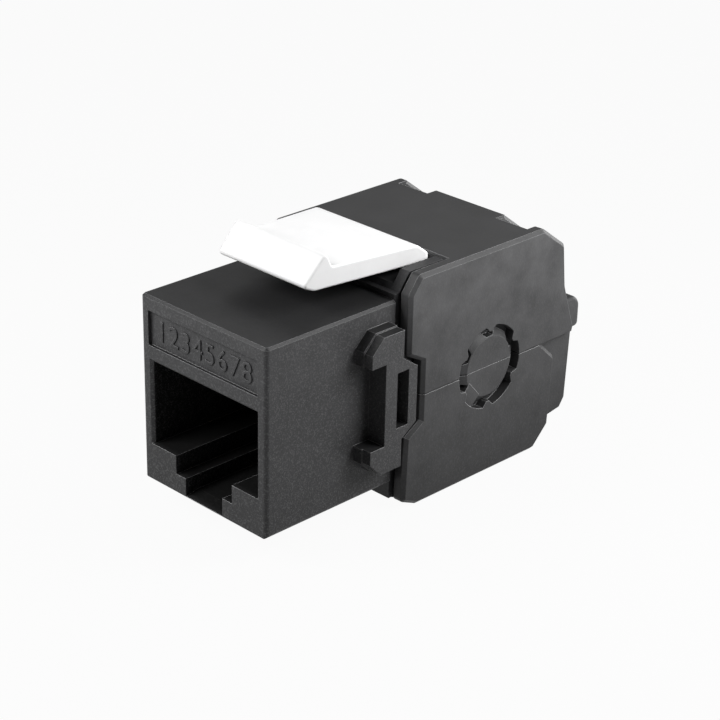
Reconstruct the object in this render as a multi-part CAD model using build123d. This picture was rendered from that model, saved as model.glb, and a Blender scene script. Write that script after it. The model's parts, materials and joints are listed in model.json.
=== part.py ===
from build123d import *
from math import atan2, degrees, hypot, sqrt
import os

# A tool-free keystone jack: a front housing with a modular port, a sprung latch on top, and a
# rear block whose two jaws swing open to take the wires and press them onto forked terminals.
# Lengths are in millimetres. While the pieces are drawn, x runs from the middle to the right,
# y from the front face to the rear, and z up from the underside of the housing. place() then
# moves them all, so that the origin is the middle of the footprint, on the surface below.
# A lead is measured forwards, and a setback backwards, from the rear face of the housing.

# Front housing
housing_width = 14.6
housing_height = 16.2
housing_depth = 13.7
housing_corner = 0.35
housing_top_bevel = 0.2
port_half_width = 6.14
port_sill = 3.25
port_lintel_drop = 5.65
port_mouth_bevel = 0.25
tab_step_half_width = 3.35
tab_step_floor = 1.62
tab_half_width = 2.2
tab_floor = 0.3
tab_channel_depth = 11.0
tab_ramp_front = 0.05
tab_ramp_length = 1.3
front_wall = 1.4
housing_roof = 1.2
label_margin_left = 0.85
label_margin_right = 1.0
label_height = 3.0
label_top_margin = 1.25
label_recess = 0.3
hook_half_width = 4.4
hook_station = 8.2
hook_length = 1.5
hook_drop = 1.1

# Side brackets, which stop the jack behind its panel
bracket_proud = 1.8
bracket_base_proud = 0.95
bracket_ledge = 0.12
bracket_mid_height = 8.52
bracket_front_lead = 4.25
bracket_bar_lead = 2.7
bracket_rear_lead = 0.75
bracket_half_height = 5.98
bracket_lobe = 2.4
bracket_corner = 1.25
bulge_setback = 0.95
bulge_half_height = 3.55
bulge_bevel = 0.1
bulge_corner_half_height = 2.45
window_front_lead = 1.4
window_rear_lead = 0.1
window_half_height = 2.43

# Core frame between the jaws
core_half_width = 7.15
core_shoulder_setback = 5.5
core_setback = 16.7
core_block_half_height = 4.29
core_rib_width = 0.95
core_rib_gap = 0.05
latch_bed = 1.05
arm_reach = 1.8
arm_thickness = 0.6
arm_clearance = 0.05
tooth_height = 0.85
tooth_clearance = 0.15
board_pocket_half_width = 6.4
board_pocket_margin = 2.1

# Jaws: the outline of the side plates
jaw_roof_rise = 2.0
jaw_floor_drop = 2.3
seam_height = 7.65
seam_gap = 0.08
ear_inner = 7.4
ear_thickness = 1.07
ear_front_setback = 0.5
ear_bevel = 0.3
ear_corner_round = 0.45
ear_rear_round = 0.8
flare_round = 2.0
ear_front_chamfer_run = 1.15
ear_front_chamfer_drop = 1.5
ear_shoulder_height = 11.55
notch_setback = 2.2
notch_slope = 0.9
jaw_roof_rear_setback = 16.5
jaw_rear_face_setback = 19.35
jaw_rear_chamfer_drop = 2.1
flare_start_height = 12.3
flare_start_setback = 19.8
flare_end_height = 8.1
flare_end_setback = 21.25
flare_foot_run = 0.1
lower_shoulder_height = 5.34
lower_shoulder_drop = 1.06
lower_toe_setback = 0.3
lower_toe_height = 0.77
lower_toe_run = 1.76
lower_floor_setback = 16.7
lower_heel_setback = 18.55
lower_heel_height = 1.85
lower_cheek_setback = 18.85
lower_cheek_height = 5.9
lower_cheek_run = 1.85
back_plate_proud = 0.55
back_plate_setback = 21.35
back_plate_lean = 0.3
back_plate_foot = 1.15
back_plate_chamfer = 0.55
back_plate_chamfer_rise = 0.3
heel_step = 0.5
jaw_wall = 0.9
jaw_rear_wall = 1.25
jaw_roof_front_setback = 5.9
tongue_half_width = 4.1
tongue_notch_length = 1.1
tongue_notch_drop = 2.5
tongue_edge = 0.15
tongue_slope_edge = 0.3

# Finger lip across the rear of the upper jaw
lip_half_width = 8.2
lip_setback = 22.2
lip_top = 10.65
lip_round = 1.05
lip_foot_round = 0.5
lip_end_round = 0.45

# Cable hole at the rear and the toothed knock-outs at the sides, all centred on the seam
cable_radius = 3.1
knockout_setback = 10.3
knockout_radius = 3.7
knockout_teeth = 6
knockout_tooth_reach = 0.5
knockout_tooth_tip = 0.3
knockout_tooth_root = 1.3
knockout_web = 0.2
knockout_gap = 0.5
knockout_disc_bevel_run = 0.55
knockout_disc_bevel_depth = 0.38
knockout_disc_sunk = 0.12
knockout_bridge_turn = 222.0
knockout_bridge_width = 1.8
knockout_bridge_reach = 1.4
knockout_bridge_sunk = 0.04
knockout_seam_gap = 0.01

# Jaw pivots: round trunnions inside the side plates, in blind bores of the core
pivot_setback = 2.3
pivot_inset = 1.4
trunnion_radius = 0.55
trunnion_length = 1.2
trunnion_clearance = 0.07

# Latch
latch_front_half_width = 4.95
latch_rear_half_width = 5.9
latch_rear_corner = 0.7
latch_edge = 0.2
latch_nose_round = 0.5
latch_toe_round = 0.3
latch_neck_round = 0.35
latch_tail_round = 1.2
latch_heel_round = 0.3
latch_sunk = 0.5
latch_nose_rise = 0.42
latch_toe_rise = 0.5
latch_lip_rise = 2.46
latch_neck_drop = 1.3
latch_back_drop = 0.38
latch_heel_rise = 0.5
latch_toe_run = 1.18
latch_lip_run = 1.15
latch_neck_run = 0.6
latch_back_run = 8.75
latch_tail_run = 1.6
latch_root_inset = 1.1
latch_root_drop = 0.75
latch_roll_radius = 0.72
latch_roll_clearance = 0.1
latch_roll_half_width = 4.5
latch_stem_half_width = 0.5

# Contacts, board and wire terminals
contact_count = 8
contact_pitch = 1.02
contact_wire = 0.35
contact_low_drop = 3.8
contact_high_drop = 2.6
contact_bend_station = 3.4
contact_bend_radius = 0.6
contact_tip_lead = 2.9
contact_tip_drop = 1.6
contact_slot_width = 0.56
contact_slot_front = 2.6
contact_hole_radius = 0.28
carrier_clearance = 0.1
carrier_front_gap = 0.2
carrier_wall_lead = 1.2
carrier_rear_reach = 0.2
board_thickness = 1.0
board_setback = 0.65
board_clearance = 0.1
terminal_pitch = 3.2
terminal_column_steps = (-1.5, -0.5, 0.5, 1.5)
terminal_thickness = 0.4
terminal_strip_width = 0.8
terminal_pin_width = 0.5
terminal_pin_reach = 0.3
terminal_hole_radius = 0.4
terminal_blade_width = 2.2
terminal_fork_gap = 0.35
terminal_fork_depth = 2.1
terminal_run_offset = 1.5
terminal_tip_offset = 7.1
terminal_front_setback = 8.9
terminal_rear_setback = 13.1
terminal_clearance = 0.1

# Wire combs
comb_half_width = 7.3
comb_front_setback = 6.1
comb_rear_setback = 15.0
comb_gap = 0.3
comb_channel_width = 1.1
comb_channel_depth = 2.4
comb_slit_front = 1.25
comb_slit_rear = 0.4
comb_slit_half_width = 1.25
comb_slit_depth = 3.15

# How far a cutter reaches beyond what it cuts, how deep the parts of one solid run into each
# other, and how near an edge lies to a place that it counts as being there
overshoot = 1.0
joining = 0.1
touch = 0.01

# Values that follow from the sizes above
housing_half_width = housing_width / 2
port_lintel = housing_height - port_lintel_drop
contact_run_low = housing_height - contact_low_drop
contact_run_high = housing_height - contact_high_drop
contact_tip_height = port_lintel - contact_tip_drop
jaw_top = housing_height + jaw_roof_rise
jaw_bottom = -jaw_floor_drop
tongue_notch_floor = jaw_top - tongue_notch_drop
bracket_front = housing_depth - bracket_front_lead
bracket_bar_front = housing_depth - bracket_bar_lead
bracket_rear = housing_depth - bracket_rear_lead
bulge_rear = housing_depth + bulge_setback
window_front = housing_depth - window_front_lead
window_rear = housing_depth - window_rear_lead
core_shoulder_rear = housing_depth + core_shoulder_setback
core_rear = housing_depth + core_setback
ear_front = housing_depth + ear_front_setback
notch_front = housing_depth + notch_setback
jaw_roof_rear = housing_depth + jaw_roof_rear_setback
jaw_rear_face = housing_depth + jaw_rear_face_setback
flare_start_rear = housing_depth + flare_start_setback
flare_end_rear = housing_depth + flare_end_setback
lower_toe_front = housing_depth + lower_toe_setback
lower_floor_rear = housing_depth + lower_floor_setback
lower_heel_rear = housing_depth + lower_heel_setback
lower_cheek_rear = housing_depth + lower_cheek_setback
back_plate_rear = housing_depth + back_plate_setback
jaw_roof_front = housing_depth + jaw_roof_front_setback
lip_rear = housing_depth + lip_setback
knockout_station = housing_depth + knockout_setback
pivot_station = housing_depth + pivot_setback
contact_tip_station = housing_depth - contact_tip_lead
carrier_wall_front = housing_depth - carrier_wall_lead
terminal_front_row = housing_depth + terminal_front_setback
terminal_rear_row = housing_depth + terminal_rear_setback
comb_front = housing_depth + comb_front_setback
comb_rear = housing_depth + comb_rear_setback
ear_outer = ear_inner + ear_thickness
core_mid_height = (jaw_top + jaw_bottom) / 2
upper_seam = seam_height + seam_gap / 2
lower_seam = seam_height - seam_gap / 2
upper_pivot_height = jaw_top - pivot_inset
lower_pivot_height = jaw_bottom + pivot_inset
core_top = jaw_top - core_rib_gap
core_bottom = jaw_bottom + core_rib_gap
core_block_top = core_mid_height + core_block_half_height
latch_belly_height = jaw_top - latch_sunk
latch_nose_height = latch_belly_height + latch_nose_rise
latch_toe_height = latch_nose_height + latch_toe_rise
latch_ridge_height = latch_toe_height + latch_lip_rise
latch_neck_height = latch_ridge_height - latch_neck_drop
latch_tail_top = latch_neck_height - latch_back_drop
latch_tail_rear = core_shoulder_rear
latch_tail_station = latch_tail_rear - latch_tail_run
latch_neck_station = latch_tail_station - latch_back_run
latch_ridge_station = latch_neck_station - latch_neck_run
latch_nose_station = latch_ridge_station - latch_lip_run
latch_toe_station = latch_nose_station - latch_toe_run
latch_pivot_station = latch_tail_rear - latch_root_inset
latch_pivot_height = latch_belly_height - latch_root_drop
board_rear = housing_depth + board_setback + board_thickness
board_front = board_rear - board_thickness
jaw_footprint = ((-lip_half_width - overshoot, lip_half_width + overshoot), (0, lip_rear + overshoot))
terminal_columns = [terminal_pitch * step for step in terminal_column_steps]
terminal_rows = [terminal_front_row, terminal_rear_row, terminal_front_row, terminal_rear_row]


def block(x, y, z):
    """A box between two corners, each direction given as (low, high)."""
    middle = ((x[0] + x[1]) / 2, (y[0] + y[1]) / 2, (z[0] + z[1]) / 2)
    return Pos(*middle) * Box(x[1] - x[0], y[1] - y[0], z[1] - z[0])


def side_profile(points, x_low, x_high):
    """An outline of (station, height) points, extruded across from x_low to x_high."""
    face = Plane.YZ * make_face(Polyline(*points, close=True))
    return Pos(x_low, 0, 0) * extrude(face, x_high - x_low)


def rounded_outline(corners):
    """A closed outline of (station, height, radius) corners, each rounded by its own radius."""
    face = make_face(Polyline(*[corner[:2] for corner in corners], close=True))
    for station, height, radius in corners:
        if radius:
            corner = face.vertices().sort_by_distance(Vertex(station, height, 0))[0]
            face = fillet(corner, radius)
    return face


def cross_cylinder(x, station, height, radius):
    """A cylinder that lies across the jack, from x[0] to x[1]."""
    return Pos((x[0] + x[1]) / 2, station, height) * Rot(0, 90, 0) * Cylinder(radius, x[1] - x[0])


def both_sides(solid):
    """A right-hand solid and its left-hand twin."""
    return solid + mirror(solid, about=Plane.YZ)


def bracket_outline(grow=0.0):
    """Half of the side bracket's outline, above its middle height, from front to rear."""
    top = bracket_half_height + grow
    front = bracket_front - grow
    return [
        (front, bracket_half_height - bracket_lobe),
        (front, top - bracket_corner),
        (front + bracket_corner, top),
        (bracket_rear, top),
        (bracket_rear, bulge_half_height),
        (bulge_rear - bulge_bevel, bulge_corner_half_height),
    ]


def bracket_layer(grow, x_low, x_high):
    """One layer of the side bracket: two lobes, the bar between them and the rear bulge."""
    upper = [(y, bracket_mid_height + z) for y, z in bracket_outline(grow)]
    lower = [(y, bracket_mid_height - z) for y, z in reversed(bracket_outline(grow))]
    lobe_root = bracket_half_height - bracket_lobe
    bar_foot = (bracket_bar_front, bracket_mid_height - lobe_root)
    bar_head = (bracket_bar_front, bracket_mid_height + lobe_root)
    return side_profile(upper + lower + [bar_foot, bar_head], x_low, x_high)


def housing():
    """The front shell: port, label recess, contact cavity, panel hook and side brackets."""
    half = housing_half_width
    shell = block((-half, half), (0, housing_depth), (0, housing_height))
    uprights = shell.edges().filter_by(Axis.Z).group_by(Axis.Y)[0]
    lower_edges = shell.edges().filter_by(Axis.Y).group_by(Axis.Z)[0]
    shell = fillet(uprights + lower_edges, housing_corner)
    rim = shell.edges().group_by(Axis.Z)[-1].filter_by(lambda e: e.center().Y < housing_depth - touch)
    shell = chamfer(rim, housing_top_bevel)

    cavity_top = housing_height - housing_roof
    shell -= block((-port_half_width, port_half_width), (-overshoot, housing_depth),
                   (port_sill, port_lintel))
    shell -= block((-port_half_width, port_half_width), (front_wall, housing_depth),
                   (port_sill, cavity_top))
    shell -= block((-tab_step_half_width, tab_step_half_width), (-overshoot, tab_channel_depth),
                   (tab_step_floor, port_lintel))
    shell -= block((-tab_half_width, tab_half_width), (-overshoot, tab_channel_depth),
                   (tab_floor, port_lintel))
    ramp = [(-overshoot, tab_ramp_front), (0, tab_ramp_front), (tab_ramp_length, tab_floor),
            (tab_ramp_length, tab_step_floor), (-overshoot, tab_step_floor)]
    shell -= side_profile(ramp, -tab_half_width, tab_half_width)
    front_edges = shell.edges().filter_by(lambda e: abs(e.center().Y) < touch)
    mouth = front_edges.filter_by(
        lambda e: abs(e.center().Z - port_lintel) < touch
        or abs(abs(e.center().X) - port_half_width) < touch)
    shell = chamfer(mouth, port_mouth_bevel)

    label_top = housing_height - label_top_margin
    shell -= block((-half + label_margin_left, half - label_margin_right), (-overshoot, label_recess),
                   (label_top - label_height, label_top))
    hook = [(hook_station, 0), (hook_station, -hook_drop),
            (hook_station + hook_length / 2, -hook_drop), (hook_station + hook_length, 0)]
    shell += side_profile(hook, -hook_half_width, hook_half_width)

    base = bracket_layer(bracket_ledge, half, half + bracket_base_proud)
    face = bracket_layer(0, half + bracket_base_proud, half + bracket_proud)
    shell += both_sides(base + face)
    window = (bracket_mid_height - window_half_height, bracket_mid_height + window_half_height)
    arm_inner = half - arm_thickness - 2 * arm_clearance
    slot = block((arm_inner, half + bracket_proud + overshoot), (window_front, window_rear), window)
    arm_room = block((arm_inner, half), (housing_depth - arm_reach - arm_clearance, housing_depth), window)
    return shell - both_sides(slot + arm_room)


def core_frame():
    """The block between the jaws: shoulder with pivots and latch seat, terminal block, snap arms."""
    front = housing_depth
    toe = ear_front + ear_front_chamfer_run
    shoulder = [
        (front, core_bottom + lower_toe_height),
        (front, core_top - ear_front_chamfer_drop),
        (ear_front, core_top - ear_front_chamfer_drop),
        (toe, core_top),
        (core_shoulder_rear, core_top),
        (core_shoulder_rear, core_bottom),
        (lower_toe_front + lower_toe_run, core_bottom),
        (lower_toe_front, core_bottom + lower_toe_height),
    ]
    core = side_profile(shoulder, -core_half_width, core_half_width)
    block_bottom = 2 * core_mid_height - core_block_top
    core += block((-core_half_width, core_half_width), (core_shoulder_rear - joining, core_rear),
                  (block_bottom, core_block_top))

    bed_half = core_half_width - core_rib_width
    core -= block((-bed_half, bed_half), (front - overshoot, core_shoulder_rear + overshoot),
                  (core_top - latch_bed, core_top + overshoot))
    roll_reach = latch_roll_half_width + latch_roll_clearance
    core -= cross_cylinder((-roll_reach, roll_reach), latch_pivot_station, latch_pivot_height,
                           latch_roll_radius + latch_roll_clearance)
    core -= block((-board_pocket_half_width, board_pocket_half_width), (front - overshoot, board_rear),
                  (core_bottom + board_pocket_margin, core_top - board_pocket_margin))

    bore_end = ear_inner - trunnion_length - trunnion_clearance
    for height in (upper_pivot_height, lower_pivot_height):
        bore = cross_cylinder((bore_end, core_half_width + overshoot), pivot_station, height,
                              trunnion_radius + trunnion_clearance)
        core -= both_sides(bore)

    for index, x in enumerate(terminal_columns):
        for side in (1, -1):
            core -= terminal_room(x, terminal_rows[index], side)

    arm_outer = housing_half_width - arm_clearance
    arm_low = bracket_mid_height - window_half_height + tooth_clearance
    arm_high = bracket_mid_height + window_half_height - tooth_clearance
    arm = block((arm_outer - arm_thickness, arm_outer), (front - arm_reach, front), (arm_low, arm_high))
    tooth = block((arm_outer - joining, arm_outer + tooth_height),
                  (window_front + tooth_clearance, window_rear - tooth_clearance), (arm_low, arm_high))
    return core + both_sides(arm + tooth)


def terminal_room(x, row, side):
    """The space that one wire terminal takes in the core, on the upper (1) or lower (-1) side."""
    gap = terminal_clearance
    run = core_mid_height + side * terminal_run_offset
    strip_half = terminal_strip_width / 2 + gap
    blade_half = terminal_blade_width / 2 + gap
    thickness = terminal_thickness
    run_room = sorted((run - side * gap, run + side * (thickness + gap)))
    blade_room = sorted((run - side * gap, core_mid_height + side * (core_block_half_height + overshoot)))
    strip = block((x - strip_half, x + strip_half), (board_front, row), tuple(run_room))
    blade = block((x - blade_half, x + blade_half),
                  (row - thickness / 2 - gap, row + thickness / 2 + gap), tuple(blade_room))
    return strip + blade


def idc_terminal(x, row, side):
    """One forked terminal: a pin through the board, a strip to the rear and an upright fork."""
    run = core_mid_height + side * terminal_run_offset
    strip_z = tuple(sorted((run, run + side * terminal_thickness)))
    tip = core_mid_height + side * terminal_tip_offset
    blade_z = tuple(sorted((run, tip)))
    fork_z = tuple(sorted((tip - side * terminal_fork_depth, tip + side * overshoot)))
    rear_face = row + terminal_thickness / 2
    front_face = row - terminal_thickness / 2
    pin = block((x - terminal_pin_width / 2, x + terminal_pin_width / 2),
                (board_front - terminal_pin_reach, board_rear), strip_z)
    strip = block((x - terminal_strip_width / 2, x + terminal_strip_width / 2),
                  (board_rear, rear_face), strip_z)
    blade = block((x - terminal_blade_width / 2, x + terminal_blade_width / 2),
                  (front_face, rear_face), blade_z)
    fork = block((x - terminal_fork_gap / 2, x + terminal_fork_gap / 2),
                 (front_face - overshoot, rear_face + overshoot), fork_z)
    return pin + strip + blade - fork


def circuit_board():
    """The upright board, with a hole for each contact tail and each terminal pin."""
    margin = board_pocket_margin + board_clearance
    half = board_pocket_half_width - board_clearance
    board = block((-half, half), (board_front, board_rear), (core_bottom + margin, core_top - margin))
    middle = (board_front + board_rear) / 2
    drill_length = board_thickness + overshoot
    for index in range(contact_count):
        drill = Rot(90, 0, 0) * Cylinder(contact_hole_radius, drill_length)
        board -= Pos(contact_column(index), middle, contact_run(index)) * drill
    for x in terminal_columns:
        for side in (1, -1):
            height = core_mid_height + side * (terminal_run_offset + terminal_thickness / 2)
            board -= Pos(x, middle, height) * Rot(90, 0, 0) * Cylinder(terminal_hole_radius, drill_length)
    return board


def contact_column(index):
    """How far a contact spring stands from the middle."""
    return (index - (contact_count - 1) / 2) * contact_pitch


def contact_run(index):
    """The height of a contact's straight run: neighbours take turns in two rows."""
    return contact_run_low if index % 2 == 0 else contact_run_high


def contact_spring(index):
    """One sprung contact: a run forward from the board, a bend, and a slope back into the port."""
    x = contact_column(index)
    run = contact_run(index)
    path = FilletPolyline(
        (x, board_rear, run),
        (x, contact_bend_station, run),
        (x, contact_tip_station, contact_tip_height),
        radius=contact_bend_radius,
    )
    section = Plane(origin=path @ 0, z_dir=path % 0) * Rectangle(contact_wire, contact_wire)
    return sweep(section, path=path)


def contact_carrier():
    """The insert that closes the rear of the port and guides the contacts in eight slots."""
    half = port_half_width - carrier_clearance
    top = housing_height - housing_roof - carrier_clearance
    ceiling = port_lintel + carrier_clearance
    rear = housing_depth + carrier_rear_reach
    carrier = block((-half, half), (front_wall + carrier_front_gap, rear), (ceiling, top))
    carrier += block((-half, half), (carrier_wall_front, rear),
                     (port_sill + carrier_clearance, ceiling + joining))
    for index in range(contact_count):
        x = contact_column(index)
        slot = block((x - contact_slot_width / 2, x + contact_slot_width / 2),
                     (contact_slot_front, rear + overshoot),
                     (ceiling - overshoot, contact_run(index) + contact_wire / 2 + carrier_clearance))
        carrier -= slot
    return carrier


def knockout_notches(radius, widen):
    """Six wedges that point inwards from a radius, as one solid from the seam's middle outwards."""
    tip = knockout_tooth_tip / 2 + widen
    root = knockout_tooth_root / 2 + widen
    flare = (root - tip) / knockout_tooth_reach
    outer = root + flare * overshoot
    wedge = side_profile([(radius - knockout_tooth_reach, -tip), (radius + overshoot, -outer),
                          (radius + overshoot, outer), (radius - knockout_tooth_reach, tip)],
                         0, ear_outer + overshoot)
    turns = [360 / knockout_teeth * (step + 0.5) for step in range(knockout_teeth)]
    wedges = [Pos(0, knockout_station, seam_height) * Rot(turn, 0, 0) * wedge for turn in turns]
    return sum(wedges[1:], wedges[0])


def knockout_cutter(side):
    """The toothed ring round the blank in a side plate, on the right (1) or left (-1)."""
    floor = ear_inner + knockout_web
    disc_radius = knockout_radius - knockout_gap
    disc_top = ear_outer - knockout_disc_sunk
    bevel_foot = disc_top - knockout_disc_bevel_depth
    ring = cross_cylinder((floor, ear_outer + overshoot), knockout_station, seam_height, knockout_radius)
    ring -= knockout_notches(knockout_radius, 0)
    disc = cross_cylinder((floor - joining, bevel_foot), knockout_station, seam_height, disc_radius)
    bevel = Cone(disc_radius, disc_radius - knockout_disc_bevel_run, knockout_disc_bevel_depth)
    disc += Pos((bevel_foot + disc_top) / 2, knockout_station, seam_height) * Rot(0, 90, 0) * bevel
    disc -= knockout_notches(disc_radius, knockout_gap / 2)
    bridge_reach = (knockout_radius - knockout_bridge_reach, knockout_radius + joining)
    bridge = block((floor - joining, ear_outer - knockout_bridge_sunk), bridge_reach,
                   (-knockout_bridge_width / 2, knockout_bridge_width / 2))
    bridge = Pos(0, knockout_station, seam_height) * Rot(knockout_bridge_turn, 0, 0) * bridge
    cutter = ring - disc - bridge
    return cutter if side > 0 else mirror(cutter, about=Plane.YZ)


def bevelled_ear(outline, x_outer, seam):
    """A side plate of (station, height, radius) corners, its outer edges bevelled except on the seam."""
    plate = Pos(ear_inner, 0, 0) * extrude(Plane.YZ * rounded_outline(outline), x_outer - ear_inner)
    outer_edges = plate.faces().sort_by(Axis.X)[-1].edges()
    free_edges = outer_edges.filter_by(lambda e: abs(e.center().Z - seam) > touch)
    return chamfer(free_edges, ear_bevel)


def trunnion(height):
    """The round stub on a side plate's inner face that the jaw turns on."""
    return cross_cylinder((ear_inner - trunnion_length, ear_inner + joining), pivot_station, height,
                          trunnion_radius)


def slope_bevel(x):
    """A square bar laid corner down along the rear slope, which bevels the edge that runs there at x."""
    run = jaw_rear_face - jaw_roof_rear
    fall = jaw_rear_chamfer_drop
    side = tongue_slope_edge * sqrt(2)
    bar = Rot(degrees(atan2(-fall, run)), 0, 0) * Rot(0, 45, 0) * Box(side, hypot(run, fall), side)
    return Pos(x, jaw_roof_rear + run / 2, jaw_top - fall / 2) * bar


def cable_cutter():
    """The round way in for the cable, through both rear walls."""
    length = lip_rear + overshoot - core_rear
    middle = core_rear + length / 2
    return Pos(0, middle, seam_height) * Rot(90, 0, 0) * Cylinder(cable_radius, length)


def finger_lip():
    """The rounded lip across the rear of the upper jaw."""
    root = flare_start_rear - jaw_rear_wall / 2
    lip = side_profile([(root, upper_seam), (lip_rear, upper_seam), (lip_rear, lip_top), (root, lip_top)],
                       -lip_half_width, lip_half_width)
    rear_edges = lip.edges().filter_by(Axis.X).group_by(Axis.Y)[-1].sort_by(Axis.Z)
    lip = fillet(rear_edges[-1], lip_round)
    rear_edges = lip.edges().filter_by(Axis.X).group_by(Axis.Y)[-1].sort_by(Axis.Z)
    lip = fillet(rear_edges[0], lip_foot_round)
    end_edges = lip.faces().sort_by(Axis.X)[-1].edges() + lip.faces().sort_by(Axis.X)[0].edges()
    end_edges = end_edges.filter_by(
        lambda e: e.center().Y > root + touch and e.center().Z > upper_seam + touch
        and e.length > joining)
    return fillet(end_edges, lip_end_round)


def upper_jaw():
    """The upper cover: side plates, roof with its tongue, rear wall, finger lip and trunnions."""
    ear = [
        (ear_front, ear_shoulder_height, 0),
        (notch_front, ear_shoulder_height - notch_slope, 0),
        (notch_front, upper_seam, 0),
        (flare_end_rear - flare_foot_run, upper_seam, 0),
        (flare_end_rear, flare_end_height, 0),
        (flare_start_rear, flare_start_height, flare_round),
        (jaw_rear_face, jaw_top - jaw_rear_chamfer_drop, ear_corner_round),
        (jaw_roof_rear, jaw_top, ear_rear_round),
        (ear_front + ear_front_chamfer_run, jaw_top, ear_corner_round),
        (ear_front, jaw_top - ear_front_chamfer_drop, ear_corner_round),
    ]
    jaw = both_sides(bevelled_ear(ear, ear_outer, upper_seam))
    shell = [
        (jaw_roof_front, jaw_top),
        (jaw_roof_rear, jaw_top),
        (jaw_rear_face, jaw_top - jaw_rear_chamfer_drop),
        (flare_start_rear, flare_start_height),
        (flare_end_rear, flare_end_height),
        (flare_end_rear - flare_foot_run, upper_seam),
        (flare_end_rear - jaw_rear_wall, upper_seam),
        (flare_end_rear - jaw_rear_wall, flare_end_height),
        (flare_start_rear - jaw_rear_wall, flare_start_height),
        (jaw_rear_face - jaw_rear_wall, jaw_top - jaw_rear_chamfer_drop - jaw_wall / 2),
        (jaw_roof_rear - jaw_wall / 2, jaw_top - jaw_wall),
        (jaw_roof_front, jaw_top - jaw_wall),
    ]
    cover = side_profile(shell, -ear_inner, ear_inner)
    notch_front_station = jaw_roof_rear - tongue_notch_length
    for side in (1, -1):
        notch_x = tuple(sorted((side * tongue_half_width, side * ear_inner)))
        cover -= block(notch_x, (notch_front_station, jaw_rear_face + overshoot),
                       (tongue_notch_floor, jaw_top + overshoot))
    tongue_edges = cover.edges().filter_by(
        lambda e: abs(abs(e.center().X) - tongue_half_width) < touch and e.center().Z > jaw_top - touch)
    cover = chamfer(tongue_edges, tongue_edge)
    jaw += cover
    for x in (tongue_half_width, ear_inner):
        jaw -= both_sides(slope_bevel(x))
    jaw += finger_lip()
    jaw -= cable_cutter()
    jaw += both_sides(trunnion(upper_pivot_height))
    keep = block(*jaw_footprint, (upper_seam, jaw_top + overshoot))
    for side in (1, -1):
        jaw -= knockout_cutter(side)
    return jaw & keep


def lower_jaw():
    """The lower cover: side plates with their set-back rear part, floor, rear wall and trunnions."""
    toe_height = jaw_bottom + lower_toe_height
    ear = [
        (notch_front, lower_seam, 0),
        (notch_front, lower_shoulder_height, 0),
        (ear_front, lower_shoulder_height - lower_shoulder_drop, 0),
        (lower_toe_front, toe_height, ear_corner_round),
        (lower_toe_front + lower_toe_run, jaw_bottom, ear_corner_round),
        (lower_floor_rear, jaw_bottom, ear_corner_round),
        (lower_heel_rear, jaw_bottom + lower_heel_height, ear_corner_round),
        (lower_cheek_rear, lower_cheek_height, ear_corner_round),
        (lower_cheek_rear - lower_cheek_run, lower_seam, 0),
    ]
    jaw = both_sides(bevelled_ear(ear, ear_outer, lower_seam))
    foot_rear = back_plate_rear - back_plate_lean
    heel_floor = jaw_bottom + lower_heel_height + heel_step
    back_plate = [
        (notch_front, lower_seam),
        (notch_front, back_plate_foot),
        (lower_floor_rear, jaw_bottom + lower_heel_height / 2),
        (lower_heel_rear, heel_floor),
        (foot_rear - back_plate_chamfer, heel_floor + back_plate_chamfer_rise),
        (foot_rear, back_plate_foot),
        (back_plate_rear, lower_seam),
    ]
    jaw += both_sides(side_profile(back_plate, ear_inner, ear_inner + back_plate_proud))
    shell = [
        (jaw_roof_front, jaw_bottom),
        (lower_floor_rear, jaw_bottom),
        (lower_heel_rear, jaw_bottom + lower_heel_height),
        (lower_heel_rear, heel_floor),
        (foot_rear - back_plate_chamfer, heel_floor + back_plate_chamfer_rise),
        (foot_rear, back_plate_foot),
        (back_plate_rear, lower_seam),
        (back_plate_rear - jaw_rear_wall, lower_seam),
        (foot_rear - jaw_rear_wall, heel_floor + jaw_rear_wall),
        (lower_heel_rear - jaw_rear_wall, heel_floor + jaw_rear_wall),
        (lower_heel_rear - jaw_rear_wall, jaw_bottom + lower_heel_height),
        (lower_floor_rear - jaw_wall / 2, jaw_bottom + jaw_wall),
        (jaw_roof_front, jaw_bottom + jaw_wall),
    ]
    jaw += side_profile(shell, -ear_inner, ear_inner)
    jaw -= cable_cutter()
    jaw += both_sides(trunnion(lower_pivot_height))
    for side in (1, -1):
        jaw -= knockout_cutter(side)
    jaw = jaw & block(*jaw_footprint, (jaw_bottom - overshoot, lower_seam))
    blank_reach = knockout_radius - knockout_gap - knockout_disc_bevel_run - joining
    closing = block((ear_inner + knockout_web, ear_outer - knockout_disc_sunk),
                    (knockout_station - blank_reach, knockout_station + blank_reach),
                    (lower_seam - joining, upper_seam - knockout_seam_gap))
    return jaw + both_sides(closing)


def wire_comb():
    """The upper comb: four channels for wires, each crossed by a slit that a terminal enters."""
    bottom = core_block_top + comb_gap
    comb = block((-comb_half_width, comb_half_width), (comb_front, comb_rear), (bottom, jaw_top - jaw_wall))
    for index, x in enumerate(terminal_columns):
        comb -= block((x - comb_channel_width / 2, x + comb_channel_width / 2),
                      (comb_front - overshoot, comb_rear + overshoot),
                      (bottom - overshoot, bottom + comb_channel_depth))
        row = terminal_rows[index]
        comb -= block((x - comb_slit_half_width, x + comb_slit_half_width),
                      (row - comb_slit_front, row + comb_slit_rear),
                      (bottom - overshoot, bottom + comb_slit_depth))
    return comb


def lower_wire_comb():
    """The upper comb turned upside down about the middle of the core."""
    plane = Plane(origin=(0, 0, core_mid_height), z_dir=(0, 0, 1))
    return mirror(wire_comb(), about=plane)


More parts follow.
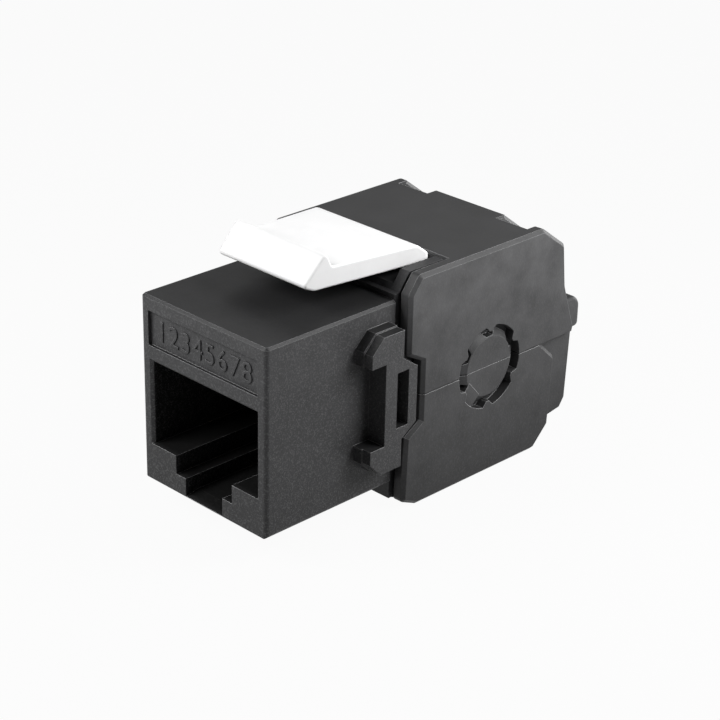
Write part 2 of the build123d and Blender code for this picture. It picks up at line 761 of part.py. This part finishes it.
def latch():
    """The sprung latch: slanted lip, long body and a round root that the core holds."""
    outline = rounded_outline([
        (latch_nose_station, latch_nose_height, latch_nose_round),
        (latch_toe_station, latch_toe_height, latch_toe_round),
        (latch_ridge_station, latch_ridge_height, latch_toe_round),
        (latch_neck_station, latch_neck_height, latch_neck_round),
        (latch_tail_station, latch_tail_top, latch_tail_round),
        (latch_tail_rear, latch_belly_height + latch_heel_rise, latch_heel_round),
        (latch_tail_rear, latch_belly_height, 0),
    ])
    wide = latch_rear_half_width
    narrow = latch_front_half_width
    bar = Pos(-wide, 0, 0) * extrude(Plane.YZ * outline, 2 * wide)
    plan = rounded_outline([
        (-narrow, latch_toe_station, 0),
        (narrow, latch_toe_station, 0),
        (wide, latch_tail_rear, latch_rear_corner),
        (-wide, latch_tail_rear, latch_rear_corner),
    ])
    full_height = latch_ridge_height - latch_belly_height + 2 * overshoot
    bar = bar & (Pos(0, 0, latch_belly_height - overshoot) * extrude(plan, full_height))
    side_edges = bar.edges().filter_by(lambda e: abs(e.center().X) > narrow - latch_rear_corner)
    bar = fillet(side_edges, latch_edge)
    root_x = (-latch_roll_half_width, latch_roll_half_width)
    stem_y = (latch_pivot_station - latch_stem_half_width, latch_pivot_station + latch_stem_half_width)
    stem = block(root_x, stem_y, (latch_pivot_height, latch_belly_height + latch_edge))
    roll = cross_cylinder(root_x, latch_pivot_station, latch_pivot_height, latch_roll_radius)
    return bar + stem + roll


def place(solid):
    """Move a finished piece so that the origin is the middle of the footprint."""
    return Pos(0, -lip_rear / 2, -jaw_bottom) * solid


def pieces():
    """Every node of the jack by name."""
    nodes = {
        "housing": housing(),
        "core_frame": core_frame(),
        "latch": latch(),
        "upper_jaw": upper_jaw(),
        "lower_jaw": lower_jaw(),
        "upper_wire_comb": wire_comb(),
        "lower_wire_comb": lower_wire_comb(),
        "contact_carrier": contact_carrier(),
        "circuit_board": circuit_board(),
    }
    for index in range(contact_count):
        nodes[f"contact_spring_{index + 1}"] = contact_spring(index)
    number = 1
    for side in (1, -1):
        for index, x in enumerate(terminal_columns):
            nodes[f"idc_terminal_{number}"] = idc_terminal(x, terminal_rows[index], side)
            number += 1
    return nodes


os.makedirs("parts", exist_ok=True)
for name, solid in pieces().items():
    export_step(place(solid), f"parts/{name}.step")
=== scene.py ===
import json
import math

import bpy
import numpy as np
from mathutils import Matrix, Vector


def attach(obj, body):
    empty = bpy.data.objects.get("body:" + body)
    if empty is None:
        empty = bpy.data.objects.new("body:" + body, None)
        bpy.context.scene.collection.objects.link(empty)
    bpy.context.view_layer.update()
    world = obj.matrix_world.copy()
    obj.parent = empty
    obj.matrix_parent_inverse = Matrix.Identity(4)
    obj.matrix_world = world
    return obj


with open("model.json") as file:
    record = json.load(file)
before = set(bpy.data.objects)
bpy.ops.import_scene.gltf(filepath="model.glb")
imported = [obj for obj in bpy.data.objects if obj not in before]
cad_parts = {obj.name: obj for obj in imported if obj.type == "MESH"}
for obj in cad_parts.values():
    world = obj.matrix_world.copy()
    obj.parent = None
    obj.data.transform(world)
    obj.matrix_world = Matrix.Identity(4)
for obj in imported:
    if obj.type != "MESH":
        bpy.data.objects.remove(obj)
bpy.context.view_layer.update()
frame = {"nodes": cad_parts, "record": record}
print("frame loaded:", len(frame["nodes"]), "solids")

mm = 0.001

# the camera stands where the photograph was taken from; angles in degrees, lengths in metres
photoCamera = {
    "place": (0.107741, -0.109895, 0.081254),
    "azimuth": 44.609,
    "elevation": 24.996,
    "roll": 1.292,
    "lens": 101.42,
    "sensor": 36.0,
    "nearest": 0.01,
}

# two small soft boxes near the object, four larger ones further off and a dim grey surround;
# places and sizes in metres, power in watts
studio = {
    "surround": (0.08, 0.08, 0.08),
    "floorSize": 6.0,
    "floorColour": (0.34, 0.34, 0.34),
    "floorGlow": 0.95,
    "floorRoughness": 0.9,
    "target": (0.0, 0.0, 0.01),
    "lamps": {
        "rightBox": {"place": (0.054, 0.032, 0.054), "size": 0.05, "power": 0.072},
        "frontBox": {"place": (-0.032, -0.068, 0.064), "size": 0.05, "power": 0.077},
        "overheadBox": {"place": (-0.10, -0.14, 0.50), "size": 0.30, "power": 0.20},
        "leftRearBox": {"place": (-0.30, 0.30, 0.26), "size": 0.25, "power": 0.12},
        "rearBox": {"place": (0.02, 0.58, 0.13), "size": 0.20, "power": 1.4},
        "rightRearBox": {"place": (0.27, 0.41, 0.40), "size": 0.16, "power": 0.2},
    },
}

# the finish of each material slot: colours are linear, lengths in millimetres
finishes = {
    "black_housing": {
        "colour": (0.034, 0.034, 0.035), "edgeHighlightColour": (0.32, 0.32, 0.325), "roughness": 0.44,
        "grainSize": 0.12, "grainDepth": 0.022, "topPolishAndShade": 0.9, "mottle": 0.30, "gloss": 0.20,
        "edgeRadius": 0.07, "tipGlint": 0.28, "paintedShading": (0.70, 1.50),
    },
    "black_core": {
        "colour": (0.024, 0.024, 0.025), "edgeHighlightColour": (0.08, 0.08, 0.085), "roughness": 0.45,
        "grainSize": 0.12, "grainDepth": 0.006, "topPolishAndShade": 0.0, "mottle": 0.25, "gloss": 0.20,
        "edgeRadius": 0.06, "tipGlint": 0.4, "paintedShading": (0.9, 1.1),
    },
    "black_jaw": {
        "colour": (0.046, 0.046, 0.047), "edgeHighlightColour": (0.36, 0.36, 0.365), "roughness": 0.48,
        "grainSize": 0.14, "grainDepth": 0.012, "topPolishAndShade": 0.75, "mottle": 0.6, "gloss": 0.20,
        "edgeRadius": 0.09, "tipGlint": 0.06, "paintedShading": (0.50, 1.65),
    },
    "white_latch": {
        "colour": (0.80, 0.80, 0.802), "edgeHighlightColour": (0.86, 0.86, 0.86), "roughness": 0.36,
        "grainSize": 0.3, "grainDepth": 0.002, "topPolishAndShade": 0.0, "mottle": 0.06, "gloss": 0.5,
        "edgeRadius": 0.12, "tipGlint": 0.2, "paintedShading": (1.0, 1.0),
    },
    "comb_plastic": {
        "colour": (0.42, 0.43, 0.44), "edgeHighlightColour": (0.5, 0.5, 0.5), "roughness": 0.4,
        "grainSize": 0.2, "grainDepth": 0.003, "topPolishAndShade": 0.0, "mottle": 0.1, "gloss": 0.45,
        "edgeRadius": 0.06, "tipGlint": 0.3, "paintedShading": (1.0, 1.0),
    },
    "black_insert": {
        "colour": (0.010, 0.010, 0.010), "edgeHighlightColour": (0.03, 0.03, 0.03), "roughness": 0.6,
        "grainSize": 0.14, "grainDepth": 0.006, "topPolishAndShade": 0.0, "mottle": 0.2, "gloss": 0.15,
        "edgeRadius": 0.05, "tipGlint": 0.2, "paintedShading": (1.0, 1.0),
    },
}

# what all plastics share: the painted shading, darker towards the bottom and paler towards the
# top, reaches its second value at the top height in mm; faces that look up get a share of the
# body's colour as painted shade, and the mottling moves the roughness
plasticSurface = {"paintedShadingTop": 20.5, "upwardShadeShare": 0.45, "roughnessSpread": 0.16}

# painted highlights on edges show by how far the rounding turns the normal, and by how much it
# looks up
edgeHighlight = {"samples": 6, "turnGain": 6.0, "upwardGain": 1.6}

# the coarse grain's density is coarseShare of the fine grain's; grain above tipStart gets a paler
# colour as a painted glint, up to tipFull; the clouds' scale is per metre
grainNoise = {
    "coarseShare": 0.5, "coarseDetail": 2.0, "coarseRoughness": 0.6, "fineDetail": 1.0,
    "tipStart": 0.50, "tipFull": 0.66, "cloudScale": 420.0, "cloudDetail": 4.0,
}

# painted shade: the port's inside walls get a darker, dull black colour; lengths in millimetres
port = {
    "halfWidth": 6.3, "top": 12.95, "front": -17.93, "fade": 0.5,
    "colour": (0.006, 0.006, 0.006),
}

# both metals show streaks of dull and bright, of this length and width in millimetres
metals = {
    "contact_gold": {
        "colour": (0.83, 0.58, 0.24), "dull": (0.52, 0.34, 0.15), "roughness": 0.24,
        "drawnLength": 2.0, "drawnWidth": 0.05,
    },
    "terminal_metal": {
        "colour": (0.66, 0.65, 0.62), "dull": (0.42, 0.41, 0.39), "roughness": 0.34,
        "drawnLength": 1.5, "drawnWidth": 0.06,
    },
}

# what both metals share; lengths in millimetres
metalSurface = {
    "edgeRadius": 0.03, "streakDetail": 2.0, "streakDepth": 0.002, "roughnessSpread": 0.2,
}

# the board's weave and edges, in millimetres
board = {
    "colour": (0.016, 0.10, 0.045), "resinColour": (0.05, 0.17, 0.08), "roughness": 0.3,
    "weavePitch": 0.22, "weaveDepth": 0.004, "edgeRadius": 0.04,
}

# eight small raised numerals on the label's place, one for each contact; a figure's height is
# capShare of its font's size
numerals = {
    "figures": "12345678",
    "height": 1.75,
    "pitch": 1.42,
    "proud": 0.10,
    "sunk": 0.03,
    "edge": 0.025,
    "capShare": 0.7,
    "bevelSteps": 2,
    "curveSteps": 6,
    "middleX": -0.075,
    "middleZ": 15.75,
    "recessFloor": -17.65,
}


def addSocket(group, name, kind, direction):
    group.interface.new_socket(name=name, in_out=direction, socket_type=kind)


def mathNode(tree, kind, first, second=None, clamp=False):
    # a Math node whose inputs are sockets or plain numbers
    node = tree.nodes.new("ShaderNodeMath")
    node.operation = kind
    node.use_clamp = clamp
    for place, value in enumerate((first, second)):
        if value is None:
            continue
        if isinstance(value, (int, float)):
            node.inputs[place].default_value = value
        else:
            tree.links.new(value, node.inputs[place])
    return node.outputs[0]


def splitVector(tree, vector):
    # the x, y and z of a vector socket
    split = tree.nodes.new("ShaderNodeSeparateXYZ")
    tree.links.new(vector, split.inputs["Vector"])
    return split.outputs["X"], split.outputs["Y"], split.outputs["Z"]


def rampNode(tree, value, low, high):
    # 0 up to low, rising evenly to 1 at high
    ramp = tree.nodes.new("ShaderNodeMapRange")
    ramp.inputs["From Min"].default_value = low
    ramp.inputs["From Max"].default_value = high
    tree.links.new(value, ramp.inputs["Value"])
    return ramp.outputs["Result"]


def noiseNode(tree, vector, scale, detail, roughness=0.5):
    # a Noise Texture's value; its scale is a socket or a plain number
    noise = tree.nodes.new("ShaderNodeTexNoise")
    noise.inputs["Detail"].default_value = detail
    noise.inputs["Roughness"].default_value = roughness
    tree.links.new(vector, noise.inputs["Vector"])
    if isinstance(scale, float):
        noise.inputs["Scale"].default_value = scale
    else:
        tree.links.new(scale, noise.inputs["Scale"])
    return noise.outputs["Fac"]


def softEdgeGroup(spec):
    # Normal: the surface's normal, rounded within Radius of an edge.
    # Edge: 0 on flat places, rising to 1 where the rounding turns the normal most and it looks up;
    # the plastics lay a painted highlight by it.
    group = bpy.data.node_groups.new("softEdge", "ShaderNodeTree")
    addSocket(group, "Radius", "NodeSocketFloat", "INPUT")
    addSocket(group, "Normal", "NodeSocketVector", "OUTPUT")
    addSocket(group, "Edge", "NodeSocketFloat", "OUTPUT")
    start = group.nodes.new("NodeGroupInput")
    end = group.nodes.new("NodeGroupOutput")
    rounded = group.nodes.new("ShaderNodeBevel")
    rounded.samples = spec["samples"]
    group.links.new(start.outputs["Radius"], rounded.inputs["Radius"])
    surface = group.nodes.new("ShaderNodeNewGeometry")
    dot = group.nodes.new("ShaderNodeVectorMath")
    dot.operation = "DOT_PRODUCT"
    group.links.new(rounded.outputs["Normal"], dot.inputs[0])
    group.links.new(surface.outputs["Normal"], dot.inputs[1])
    turned = mathNode(group, "SUBTRACT", 1.0, dot.outputs["Value"], True)
    shown = mathNode(group, "MULTIPLY", turned, spec["turnGain"], True)
    upward = splitVector(group, rounded.outputs["Normal"])[2]
    upward = mathNode(group, "MULTIPLY", upward, spec["upwardGain"], True)
    group.links.new(rounded.outputs["Normal"], end.inputs["Normal"])
    group.links.new(mathNode(group, "MULTIPLY", shown, upward), end.inputs["Edge"])
    return group


def mouldedGrainGroup(spec):
    # Height: spark-eroded grain, a fine and a coarse noise, flattened by Polish on faces that look
    # up. Cloud: slow mottling. Fleck: the grain's raised tips, where a painted glint goes. Matt: 1
    # where unpolished; faces that look up get painted shade by it.
    group = bpy.data.node_groups.new("mouldedGrain", "ShaderNodeTree")
    for name in ("Size", "Polish"):
        addSocket(group, name, "NodeSocketFloat", "INPUT")
    for name in ("Height", "Cloud", "TipGlint", "Matt"):
        addSocket(group, name, "NodeSocketFloat", "OUTPUT")
    start = group.nodes.new("NodeGroupInput")
    end = group.nodes.new("NodeGroupOutput")
    place = group.nodes.new("ShaderNodeTexCoord")

    density = mathNode(group, "DIVIDE", 1.0, start.outputs["Size"])
    sparse = mathNode(group, "MULTIPLY", density, spec["coarseShare"])
    coarse = noiseNode(group, place.outputs["Object"], sparse, spec["coarseDetail"],
                       spec["coarseRoughness"])
    fine = noiseNode(group, place.outputs["Object"], density, spec["fineDetail"])
    grain = mathNode(group, "MULTIPLY", mathNode(group, "ADD", coarse, fine), 0.5)

    # clamped, so that walls and faces that look down keep their grain
    lookingUp = splitVector(group, place.outputs["Normal"])[2]
    lookingUp = mathNode(group, "MULTIPLY", lookingUp, 1.0, True)
    smoothed = mathNode(group, "MULTIPLY", lookingUp, start.outputs["Polish"])
    matt = mathNode(group, "SUBTRACT", 1.0, smoothed, True)
    tips = rampNode(group, grain, spec["tipStart"], spec["tipFull"])
    cloud = noiseNode(group, place.outputs["Object"], spec["cloudScale"], spec["cloudDetail"])
    group.links.new(mathNode(group, "MULTIPLY", grain, matt), end.inputs["Height"])
    group.links.new(cloud, end.inputs["Cloud"])
    group.links.new(mathNode(group, "MULTIPLY", tips, matt), end.inputs["TipGlint"])
    group.links.new(matt, end.inputs["Matt"])
    return group


softEdge = softEdgeGroup(edgeHighlight)
mouldedGrain = mouldedGrainGroup(grainNoise)


def groupNode(tree, group, values):
    node = tree.nodes.new("ShaderNodeGroup")
    node.node_tree = group
    for name, value in values.items():
        node.inputs[name].default_value = value
    return node


def mixColour(tree, factor, first, second):
    # a Mix node for colours, each side a socket or a linear colour; in its lists of sockets 6
    # and 7 are the two colours, and 2 is the mixed one
    node = tree.nodes.new("ShaderNodeMix")
    node.data_type = "RGBA"
    tree.links.new(factor, node.inputs["Factor"])
    for socket, value in ((node.inputs[6], first), (node.inputs[7], second)):
        if isinstance(value, tuple):
            socket.default_value = (*value, 1.0)
        else:
            tree.links.new(value, socket)
    return node.outputs[2]


def portShadeMask(tree, x, y, z, spec):
    # 1 on the walls inside the port, where painted shade goes, 0 on the outer faces and the
    # label's place
    near = mathNode(tree, "LESS_THAN", mathNode(tree, "ABSOLUTE", x), spec["halfWidth"] * mm)
    low = mathNode(tree, "LESS_THAN", z, spec["top"] * mm)
    depth = rampNode(tree, y, spec["front"] * mm, (spec["front"] + spec["fade"]) * mm)
    return mathNode(tree, "MULTIPLY", mathNode(tree, "MULTIPLY", near, low), depth)


def newMaterial(name):
    material = bpy.data.materials.new(name)
    material.use_nodes = True
    tree = material.node_tree
    shader = tree.nodes["Principled BSDF"]
    return material, tree, shader


def variedRoughness(tree, value, middle, spread):
    # a roughness round middle, moved by a value from 0 to 1
    return mathNode(tree, "ADD", mathNode(tree, "MULTIPLY", value, spread), middle - spread / 2)


def linkBump(tree, shader, height, depth, normal):
    # height as a bump of depth mm, over the normal of the rounded edges
    bump = tree.nodes.new("ShaderNodeBump")
    bump.inputs["Distance"].default_value = depth * mm
    tree.links.new(height, bump.inputs["Height"])
    tree.links.new(normal, bump.inputs["Normal"])
    tree.links.new(bump.outputs["Normal"], shader.inputs["Normal"])


def plasticMaterial(name, finish):
    # moulded plastic: mottled body colour with painted shading, darker towards the bottom and
    # paler towards the top, painted shade on faces that look up, painted glints on the grain tips
    # and painted highlights on edges, grain as bump
    material, tree, shader = newMaterial(name)
    edge = groupNode(tree, softEdge, {"Radius": finish["edgeRadius"] * mm})
    grain = groupNode(tree, mouldedGrain, {
        "Size": finish["grainSize"] * mm,
        "Polish": finish["topPolishAndShade"],
    })
    place = tree.nodes.new("ShaderNodeTexCoord")
    x, y, z = splitVector(tree, place.outputs["Object"])
    body = finish["colour"]
    bands = []
    # painted shading: the colour is darker towards the bottom and paler towards the top
    for share in finish["paintedShading"]:
        dark = tuple(channel * share * (1 - finish["mottle"]) for channel in body)
        pale = tuple(channel * share * (1 + finish["mottle"]) for channel in body)
        bands.append(mixColour(tree, grain.outputs["Cloud"], dark, pale))
    rise = rampNode(tree, z, 0.0, plasticSurface["paintedShadingTop"] * mm)
    paintedShadingMix = mixColour(tree, rise, *bands)
    # painted shade: faces that look up get a darker share of the body's colour
    upwardShade = tuple(channel * plasticSurface["upwardShadeShare"] for channel in body)
    cloudedAndShaded = mixColour(tree, grain.outputs["Matt"], upwardShade, paintedShadingMix)
    # painted shade: inside the housing's port the colour is darker
    if name == "black_housing":
        cloudedAndShaded = mixColour(tree, portShadeMask(tree, x, y, z, port), cloudedAndShaded, port["colour"])
    # painted glint: the grain's raised tips get a paler colour
    tipGlintColour = tuple((a + b) / 2 for a, b in zip(body, finish["edgeHighlightColour"]))
    tipGlints = mathNode(tree, "MULTIPLY", grain.outputs["TipGlint"], finish["tipGlint"])
    tipGlinted = mixColour(tree, tipGlints, cloudedAndShaded, tipGlintColour)
    # painted highlight: edges that look up get a pale colour
    highlighted = mixColour(tree, edge.outputs["Edge"], tipGlinted, finish["edgeHighlightColour"])
    tree.links.new(highlighted, shader.inputs["Base Color"])
    roughness = variedRoughness(tree, grain.outputs["Cloud"], finish["roughness"],
                                plasticSurface["roughnessSpread"])
    tree.links.new(roughness, shader.inputs["Roughness"])
    shader.inputs["Specular IOR Level"].default_value = finish["gloss"]
    linkBump(tree, shader, grain.outputs["Height"], finish["grainDepth"], edge.outputs["Normal"])
    return material


def metalMaterial(name, finish):
    # drawn or rolled metal: streaks along y, dull patches
    material, tree, shader = newMaterial(name)
    edge = groupNode(tree, softEdge, {"Radius": metalSurface["edgeRadius"] * mm})
    place = tree.nodes.new("ShaderNodeTexCoord")
    stretch = tree.nodes.new("ShaderNodeMapping")
    across = 1 / (finish["drawnWidth"] * mm)
    stretch.inputs["Scale"].default_value = (across, 1 / (finish["drawnLength"] * mm), across)
    tree.links.new(place.outputs["Object"], stretch.inputs["Vector"])
    streaks = noiseNode(tree, stretch.outputs["Vector"], 1.0, metalSurface["streakDetail"])
    streaked = mixColour(tree, streaks, finish["dull"], finish["colour"])
    tree.links.new(streaked, shader.inputs["Base Color"])
    roughness = variedRoughness(tree, streaks, finish["roughness"],
                                metalSurface["roughnessSpread"])
    tree.links.new(roughness, shader.inputs["Roughness"])
    shader.inputs["Metallic"].default_value = 1.0
    linkBump(tree, shader, streaks, metalSurface["streakDepth"], edge.outputs["Normal"])
    return material


def boardMaterial(name, finish):
    # glass-fibre laminate under solder mask: a faint square weave shows through
    material, tree, shader = newMaterial(name)
    edge = groupNode(tree, softEdge, {"Radius": finish["edgeRadius"] * mm})
    place = tree.nodes.new("ShaderNodeTexCoord")
    x, _, z = splitVector(tree, place.outputs["Object"])
    turns = 2 * math.pi / (finish["weavePitch"] * mm)
    warp = mathNode(tree, "SINE", mathNode(tree, "MULTIPLY", x, turns))
    weft = mathNode(tree, "SINE", mathNode(tree, "MULTIPLY", z, turns))
    crossed = mathNode(tree, "MULTIPLY", mathNode(tree, "MULTIPLY", warp, weft), 0.5)
    weave = mathNode(tree, "ADD", crossed, 0.5)
    woven = mixColour(tree, weave, finish["colour"], finish["resinColour"])
    tree.links.new(woven, shader.inputs["Base Color"])
    shader.inputs["Roughness"].default_value = finish["roughness"]
    linkBump(tree, shader, weave, finish["weaveDepth"], edge.outputs["Normal"])
    return material


materials = {slot: plasticMaterial(slot, finish) for slot, finish in finishes.items()}
materials.update({slot: metalMaterial(slot, finish) for slot, finish in metals.items()})
materials["board_laminate"] = boardMaterial("board_laminate", board)
for part in frame["record"]["subparts"]:
    solid = frame["nodes"][part["node"]]
    solid.data.materials.clear()
    solid.data.materials.append(materials[part["material_slot"]])
print("materials:", len(materials))


def numeralMesh(figure, depth, spec):
    # the outline of one figure, extruded and bevelled
    curve = bpy.data.curves.new("figureOutline", "FONT")
    curve.body = figure
    curve.size = spec["height"] / spec["capShare"]
    curve.align_x = "CENTER"
    curve.extrude = depth / 2 - spec["edge"]
    curve.bevel_depth = spec["edge"]
    curve.bevel_resolution = spec["bevelSteps"]
    curve.offset = -spec["edge"]
    curve.resolution_u = spec["curveSteps"]
    holder = bpy.data.objects.new("figureHolder", curve)
    bpy.context.scene.collection.objects.link(holder)
    bpy.context.view_layer.update()
    drawn = holder.evaluated_get(bpy.context.evaluated_depsgraph_get())
    mesh = bpy.data.meshes.new_from_object(drawn)
    bpy.data.objects.remove(holder)
    bpy.data.curves.remove(curve)
    return mesh


def placeNumerals(spec):
    # the figures stand in a row across the recess, each turned up to face the port's side
    corners = []
    faces = []
    middle = (len(spec["figures"]) - 1) / 2
    depth = spec["proud"] + spec["sunk"]
    for index, figure in enumerate(spec["figures"]):
        mesh = numeralMesh(figure, depth, spec)
        points = np.empty(len(mesh.vertices) * 3)
        mesh.vertices.foreach_get("co", points)
        points = points.reshape(-1, 3)
        x = points[:, 0] + spec["middleX"] + (index - middle) * spec["pitch"]
        y = spec["recessFloor"] + spec["sunk"] - depth / 2 - points[:, 2]
        z = points[:, 1] - spec["height"] / 2 + spec["middleZ"]
        start = sum(len(part) for part in corners)
        corners.append(np.stack([x, y, z], 1) * mm)
        faces += [tuple(start + corner for corner in face.vertices) for face in mesh.polygons]
        bpy.data.meshes.remove(mesh)
    row = bpy.data.meshes.new("label_numerals")
    row.from_pydata(np.concatenate(corners).tolist(), [], faces)
    row.update()
    piece = bpy.data.objects.new("label_numerals", row)
    bpy.context.scene.collection.objects.link(piece)
    piece.data.materials.append(materials["black_housing"])
    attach(piece, "jack_body")


placeNumerals(numerals)
print("numerals placed")


def cameraMatrix(spec):
    # columns: the picture's right, its up, and the way back from the object to the camera
    azimuth = math.radians(spec["azimuth"])
    elevation = math.radians(spec["elevation"])
    roll = math.radians(spec["roll"])
    back = np.array([
        math.sin(azimuth) * math.cos(elevation),
        -math.cos(azimuth) * math.cos(elevation),
        math.sin(elevation),
    ])
    level = np.array([math.cos(azimuth), math.sin(azimuth), 0.0])
    upright = np.cross(back, level)
    right = level * math.cos(roll) + upright * math.sin(roll)
    up = upright * math.cos(roll) - level * math.sin(roll)
    matrix = Matrix.Identity(4)
    for row in range(3):
        matrix[row][0], matrix[row][1], matrix[row][2] = right[row], up[row], back[row]
        matrix[row][3] = spec["place"][row]
    return matrix


def addCamera(spec):
    lens = bpy.data.cameras.new("photoCamera")
    lens.lens = spec["lens"]
    lens.sensor_width = spec["sensor"]
    lens.clip_start = spec["nearest"]
    camera = bpy.data.objects.new("photoCamera", lens)
    bpy.context.scene.collection.objects.link(camera)
    camera.matrix_world = cameraMatrix(spec)
    bpy.context.scene.camera = camera


def addLamp(name, spec, target):
    light = bpy.data.lights.new(name, "AREA")
    light.shape = "SQUARE"
    light.size = spec["size"]
    light.energy = spec["power"]
    lamp = bpy.data.objects.new(name, light)
    lamp.visible_camera = False
    bpy.context.scene.collection.objects.link(lamp)
    lamp.location = spec["place"]
    aim = Vector(target) - Vector(spec["place"])
    lamp.rotation_euler = aim.to_track_quat("-Z", "Y").to_euler()


def floorMaterial(spec):
    # matt grey floor; rays from the camera, mirrored ones and those through clear things see a
    # share floorGlow of it as plain white
    material, tree, shader = newMaterial("studioFloor")
    shader.inputs["Base Color"].default_value = (*spec["floorColour"], 1.0)
    shader.inputs["Roughness"].default_value = spec["floorRoughness"]
    shader.inputs["Specular IOR Level"].default_value = 0.0
    glow = tree.nodes.new("ShaderNodeEmission")
    glow.inputs["Color"].default_value = (1.0, 1.0, 1.0, 1.0)
    glow.inputs["Strength"].default_value = 1.0
    rays = tree.nodes.new("ShaderNodeLightPath")
    seen = mathNode(tree, "MAXIMUM", rays.outputs["Is Camera Ray"], rays.outputs["Is Glossy Ray"])
    seen = mathNode(tree, "MAXIMUM", seen, rays.outputs["Is Transmission Ray"])
    share = mathNode(tree, "MULTIPLY", seen, spec["floorGlow"])
    mix = tree.nodes.new("ShaderNodeMixShader")
    # the mix has its two shaders in sockets 1 and 2
    tree.links.new(share, mix.inputs["Fac"])
    tree.links.new(shader.outputs["BSDF"], mix.inputs[1])
    tree.links.new(glow.outputs["Emission"], mix.inputs[2])
    tree.links.new(mix.outputs["Shader"], tree.nodes["Material Output"].inputs["Surface"])
    return material


def addFloor(spec):
    half = spec["floorSize"] / 2
    mesh = bpy.data.meshes.new("studioFloor")
    corners = [(-half, -half, 0), (half, -half, 0), (half, half, 0), (-half, half, 0)]
    mesh.from_pydata(corners, [], [(0, 1, 2, 3)])
    floor = bpy.data.objects.new("studioFloor", mesh)
    bpy.context.scene.collection.objects.link(floor)
    floor.data.materials.append(floorMaterial(spec))


def addSurround(colour):
    world = bpy.data.worlds.new("studioSurround")
    world.use_nodes = True
    world.node_tree.nodes["Background"].inputs["Color"].default_value = (*colour, 1.0)
    world.node_tree.nodes["Background"].inputs["Strength"].default_value = 1.0
    bpy.context.scene.world = world


addCamera(photoCamera)
addFloor(studio)
addSurround(studio["surround"])
for lampName, lampSpec in studio["lamps"].items():
    addLamp(lampName, lampSpec, studio["target"])
bpy.context.scene.view_settings.view_transform = "Standard"
print("camera, floor and lamps set")
